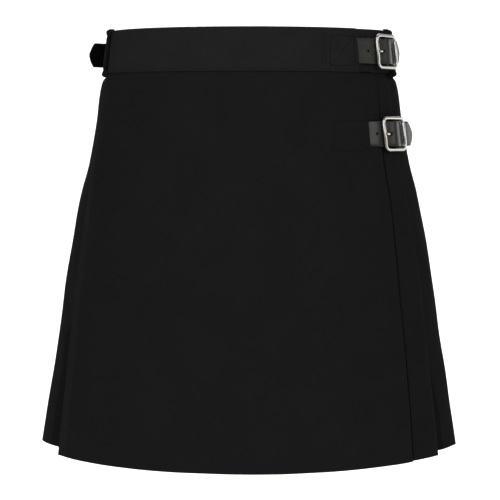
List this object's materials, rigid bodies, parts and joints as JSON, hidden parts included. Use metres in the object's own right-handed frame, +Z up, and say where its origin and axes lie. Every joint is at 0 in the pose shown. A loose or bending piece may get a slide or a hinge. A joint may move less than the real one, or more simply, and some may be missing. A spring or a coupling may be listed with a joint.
{
  "type": "scottish kilt",
  "caption": "Plain black wrap kilt in its hollow worn form, with a waistband, knife pleats round the back, belt loops, and leather straps with nickel buckles at the hips.",
  "frame": {"origin": "middle of the waist at half the height of the waistband", "axes": "+Z up, -Y to the front of the kilt, +X to the hip with the two buckles"},
  "size_m": [0.5458, 0.3599, 0.542],
  "materials": {
    "cloth": "black twill kilt cloth, matt with a faint sheen",
    "band_cloth": "the same black twill, pressed and stitched double",
    "strap_leather": "satin black strap leather",
    "nickel": "polished nickel plate"
  },
  "bodies": {
    "root": {"over_apron": "cloth", "under_apron": "cloth", "pleats_right": "cloth", "pleats_back": "cloth", "pleats_left": "cloth", "waistband_front": "band_cloth", "waistband_back": "band_cloth", "waistband_under": "band_cloth", "belt_loop_left": "band_cloth", "belt_loop_right": "band_cloth", "strap_upper": "strap_leather", "strap_lower": "strap_leather", "strap_left": "strap_leather", "chape_upper": "strap_leather", "chape_lower": "strap_leather", "chape_left": "strap_leather", "buckle_upper": "nickel", "buckle_lower": "nickel", "buckle_left": "nickel", "prong_upper": "nickel", "prong_lower": "nickel", "prong_left": "nickel"}
  },
  "joints": []
}
